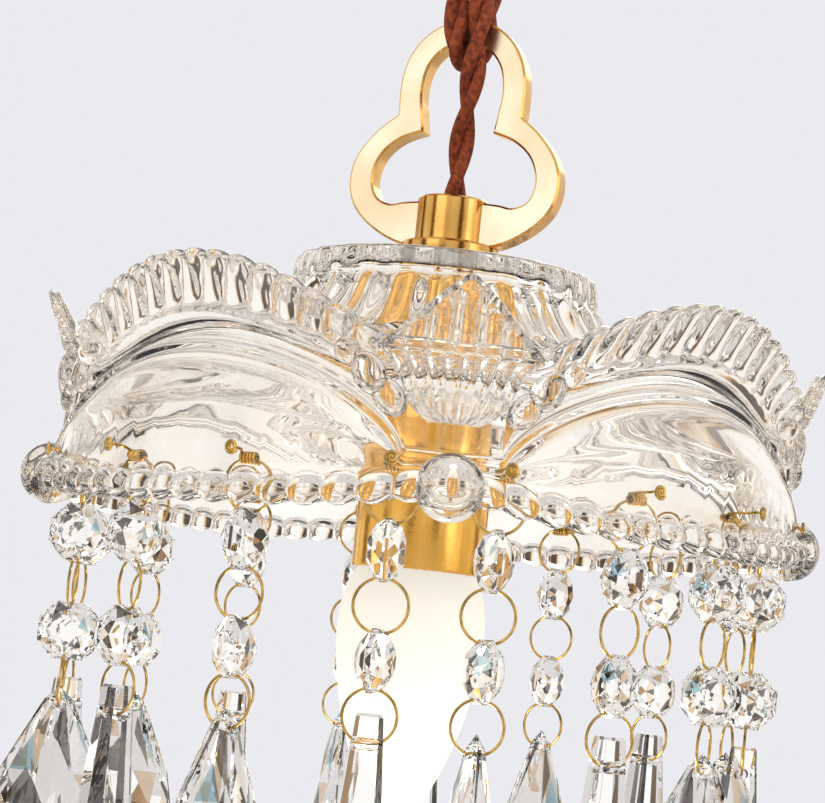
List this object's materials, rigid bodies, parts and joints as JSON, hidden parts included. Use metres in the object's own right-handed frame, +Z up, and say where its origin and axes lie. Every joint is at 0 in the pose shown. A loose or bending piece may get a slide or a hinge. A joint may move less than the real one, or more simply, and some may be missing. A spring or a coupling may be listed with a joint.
{
  "type": "crystal pendant lamp",
  "caption": "Small pendant lamp: twisted cord, brass hanging loop, scalloped pressed-glass crown, candle bulb in a brass tube, and swinging strands of faceted crystal.",
  "frame": {"origin": "centre of the ceiling plate's flat top face", "axes": "+Z up out of the ceiling face, -Y through the front valley of the crown, +X to the right of someone facing it"},
  "size_m": [0.1946, 0.1946, 0.4124],
  "materials": {
    "brass": "polished",
    "steel": "satin",
    "pressed_glass": "polished",
    "cut_crystal": "polished",
    "frosted_glass": "frosted",
    "porcelain": "glazed",
    "fabric_cord": "braided"
  },
  "bodies": {
    "ceiling": {"ceiling_plate": "steel", "ceiling_rose": "brass"},
    "swivel": {"cord_grip": "brass"},
    "pendant": {"suspension_cord": "fabric_cord", "loop_bracket": "brass", "threaded_nipple": "steel", "glass_crown": "pressed_glass", "socket_cover": "brass", "lower_nut": "steel", "lampholder": "porcelain", "pin_01": "brass", "pin_02": "brass", "pin_03": "brass", "pin_04": "brass", "pin_05": "brass", "pin_06": "brass", "pin_07": "brass", "pin_08": "brass", "pin_09": "brass", "pin_10": "brass", "pin_11": "brass", "pin_12": "brass", "pin_13": "brass", "pin_14": "brass", "pin_15": "brass", "pin_16": "brass"},
    "bulb": {"bulb_globe": "frosted_glass", "bulb_cap": "steel"},
    "strand_01": {"chain_01": "cut_crystal"},
    "pendalogue_01": {"drop_01": "cut_crystal"},
    "strand_02": {"chain_02": "cut_crystal"},
    "pendalogue_02": {"drop_02": "cut_crystal"},
    "strand_03": {"chain_03": "cut_crystal"},
    "pendalogue_03": {"drop_03": "cut_crystal"},
    "strand_04": {"chain_04": "cut_crystal"},
    "pendalogue_04": {"drop_04": "cut_crystal"},
    "strand_05": {"chain_05": "cut_crystal"},
    "pendalogue_05": {"drop_05": "cut_crystal"},
    "strand_06": {"chain_06": "cut_crystal"},
    "pendalogue_06": {"drop_06": "cut_crystal"},
    "strand_07": {"chain_07": "cut_crystal"},
    "pendalogue_07": {"drop_07": "cut_crystal"},
    "strand_08": {"chain_08": "cut_crystal"},
    "pendalogue_08": {"drop_08": "cut_crystal"},
    "strand_09": {"chain_09": "cut_crystal"},
    "pendalogue_09": {"drop_09": "cut_crystal"},
    "strand_10": {"chain_10": "cut_crystal"},
    "pendalogue_10": {"drop_10": "cut_crystal"},
    "strand_11": {"chain_11": "cut_crystal"},
    "pendalogue_11": {"drop_11": "cut_crystal"},
    "strand_12": {"chain_12": "cut_crystal"},
    "pendalogue_12": {"drop_12": "cut_crystal"},
    "strand_13": {"chain_13": "cut_crystal"},
    "pendalogue_13": {"drop_13": "cut_crystal"},
    "strand_14": {"chain_14": "cut_crystal"},
    "pendalogue_14": {"drop_14": "cut_crystal"},
    "strand_15": {"chain_15": "cut_crystal"},
    "pendalogue_15": {"drop_15": "cut_crystal"},
    "strand_16": {"chain_16": "cut_crystal"},
    "pendalogue_16": {"drop_16": "cut_crystal"}
  },
  "joints": [
    {"name": "swing_front_back", "type": "hinge", "parent": "ceiling", "child": "swivel", "pos_m": [0, 0, -0.019], "axis": [1, 0, 0], "range_deg": [-12, 12]},
    {"name": "swing_side", "type": "hinge", "parent": "swivel", "child": "pendant", "pos_m": [0, 0, -0.019], "axis": [0, 1, 0], "range_deg": [-12, 12]},
    {"name": "bulb_out", "type": "slide", "parent": "pendant", "child": "bulb", "axis": [0, 0, -1], "range_m": [0, 0.028]},
    {"name": "strand_swing_01", "type": "hinge", "parent": "pendant", "child": "strand_01", "pos_m": [0.01147, -0.08159, -0.2968], "axis": [0.9903, 0.1392, 0], "range_deg": [-6, 10]},
    {"name": "drop_swing_01", "type": "hinge", "parent": "strand_01", "child": "pendalogue_01", "pos_m": [0.01147, -0.08159, -0.3554], "axis": [0.9903, 0.1392, 0], "range_deg": [-12, 12]},
    {"name": "strand_swing_02", "type": "hinge", "parent": "pendant", "child": "strand_02", "pos_m": [0.04165, -0.06665, -0.2968], "axis": [0.848, 0.5299, 0], "range_deg": [-6, 10]},
    {"name": "drop_swing_02", "type": "hinge", "parent": "strand_02", "child": "pendalogue_02", "pos_m": [0.04165, -0.06665, -0.3554], "axis": [0.848, 0.5299, 0], "range_deg": [-12, 12]},
    {"name": "strand_swing_03", "type": "hinge", "parent": "pendant", "child": "strand_03", "pos_m": [0.06665, -0.04165, -0.2968], "axis": [0.5299, 0.848, 0], "range_deg": [-6, 10]},
    {"name": "drop_swing_03", "type": "hinge", "parent": "strand_03", "child": "pendalogue_03", "pos_m": [0.06665, -0.04165, -0.3554], "axis": [0.5299, 0.848, 0], "range_deg": [-12, 12]},
    {"name": "strand_swing_04", "type": "hinge", "parent": "pendant", "child": "strand_04", "pos_m": [0.08159, -0.01147, -0.2968], "axis": [0.1392, 0.9903, 0], "range_deg": [-6, 10]},
    {"name": "drop_swing_04", "type": "hinge", "parent": "strand_04", "child": "pendalogue_04", "pos_m": [0.08159, -0.01147, -0.3554], "axis": [0.1392, 0.9903, 0], "range_deg": [-12, 12]},
    {"name": "strand_swing_05", "type": "hinge", "parent": "pendant", "child": "strand_05", "pos_m": [0.08159, 0.01147, -0.2968], "axis": [-0.1392, 0.9903, 0], "range_deg": [-6, 10]},
    {"name": "drop_swing_05", "type": "hinge", "parent": "strand_05", "child": "pendalogue_05", "pos_m": [0.08159, 0.01147, -0.3554], "axis": [-0.1392, 0.9903, 0], "range_deg": [-12, 12]},
    {"name": "strand_swing_06", "type": "hinge", "parent": "pendant", "child": "strand_06", "pos_m": [0.06665, 0.04165, -0.2968], "axis": [-0.5299, 0.848, 0], "range_deg": [-6, 10]},
    {"name": "drop_swing_06", "type": "hinge", "parent": "strand_06", "child": "pendalogue_06", "pos_m": [0.06665, 0.04165, -0.3554], "axis": [-0.5299, 0.848, 0], "range_deg": [-12, 12]},
    {"name": "strand_swing_07", "type": "hinge", "parent": "pendant", "child": "strand_07", "pos_m": [0.04165, 0.06665, -0.2968], "axis": [-0.848, 0.5299, 0], "range_deg": [-6, 10]},
    {"name": "drop_swing_07", "type": "hinge", "parent": "strand_07", "child": "pendalogue_07", "pos_m": [0.04165, 0.06665, -0.3554], "axis": [-0.848, 0.5299, 0], "range_deg": [-12, 12]},
    {"name": "strand_swing_08", "type": "hinge", "parent": "pendant", "child": "strand_08", "pos_m": [0.01147, 0.08159, -0.2968], "axis": [-0.9903, 0.1392, 0], "range_deg": [-6, 10]},
    {"name": "drop_swing_08", "type": "hinge", "parent": "strand_08", "child": "pendalogue_08", "pos_m": [0.01147, 0.08159, -0.3554], "axis": [-0.9903, 0.1392, 0], "range_deg": [-12, 12]},
    {"name": "strand_swing_09", "type": "hinge", "parent": "pendant", "child": "strand_09", "pos_m": [-0.01147, 0.08159, -0.2968], "axis": [-0.9903, -0.1392, 0], "range_deg": [-6, 10]},
    {"name": "drop_swing_09", "type": "hinge", "parent": "strand_09", "child": "pendalogue_09", "pos_m": [-0.01147, 0.08159, -0.3554], "axis": [-0.9903, -0.1392, 0], "range_deg": [-12, 12]},
    {"name": "strand_swing_10", "type": "hinge", "parent": "pendant", "child": "strand_10", "pos_m": [-0.04165, 0.06665, -0.2968], "axis": [-0.848, -0.5299, 0], "range_deg": [-6, 10]},
    {"name": "drop_swing_10", "type": "hinge", "parent": "strand_10", "child": "pendalogue_10", "pos_m": [-0.04165, 0.06665, -0.3554], "axis": [-0.848, -0.5299, 0], "range_deg": [-12, 12]},
    {"name": "strand_swing_11", "type": "hinge", "parent": "pendant", "child": "strand_11", "pos_m": [-0.06665, 0.04165, -0.2968], "axis": [-0.5299, -0.848, 0], "range_deg": [-6, 10]},
    {"name": "drop_swing_11", "type": "hinge", "parent": "strand_11", "child": "pendalogue_11", "pos_m": [-0.06665, 0.04165, -0.3554], "axis": [-0.5299, -0.848, 0], "range_deg": [-12, 12]},
    {"name": "strand_swing_12", "type": "hinge", "parent": "pendant", "child": "strand_12", "pos_m": [-0.08159, 0.01147, -0.2968], "axis": [-0.1392, -0.9903, 0], "range_deg": [-6, 10]},
    {"name": "drop_swing_12", "type": "hinge", "parent": "strand_12", "child": "pendalogue_12", "pos_m": [-0.08159, 0.01147, -0.3554], "axis": [-0.1392, -0.9903, 0], "range_deg": [-12, 12]},
    {"name": "strand_swing_13", "type": "hinge", "parent": "pendant", "child": "strand_13", "pos_m": [-0.08159, -0.01147, -0.2968], "axis": [0.1392, -0.9903, 0], "range_deg": [-6, 10]},
    {"name": "drop_swing_13", "type": "hinge", "parent": "strand_13", "child": "pendalogue_13", "pos_m": [-0.08159, -0.01147, -0.3554], "axis": [0.1392, -0.9903, 0], "range_deg": [-12, 12]},
    {"name": "strand_swing_14", "type": "hinge", "parent": "pendant", "child": "strand_14", "pos_m": [-0.06665, -0.04165, -0.2968], "axis": [0.5299, -0.848, 0], "range_deg": [-6, 10]},
    {"name": "drop_swing_14", "type": "hinge", "parent": "strand_14", "child": "pendalogue_14", "pos_m": [-0.06665, -0.04165, -0.3554], "axis": [0.5299, -0.848, 0], "range_deg": [-12, 12]},
    {"name": "strand_swing_15", "type": "hinge", "parent": "pendant", "child": "strand_15", "pos_m": [-0.04165, -0.06665, -0.2968], "axis": [0.848, -0.5299, 0], "range_deg": [-6, 10]},
    {"name": "drop_swing_15", "type": "hinge", "parent": "strand_15", "child": "pendalogue_15", "pos_m": [-0.04165, -0.06665, -0.3554], "axis": [0.848, -0.5299, 0], "range_deg": [-12, 12]},
    {"name": "strand_swing_16", "type": "hinge", "parent": "pendant", "child": "strand_16", "pos_m": [-0.01147, -0.08159, -0.2968], "axis": [0.9903, -0.1392, 0], "range_deg": [-6, 10]},
    {"name": "drop_swing_16", "type": "hinge", "parent": "strand_16", "child": "pendalogue_16", "pos_m": [-0.01147, -0.08159, -0.3554], "axis": [0.9903, -0.1392, 0], "range_deg": [-12, 12]}
  ]
}
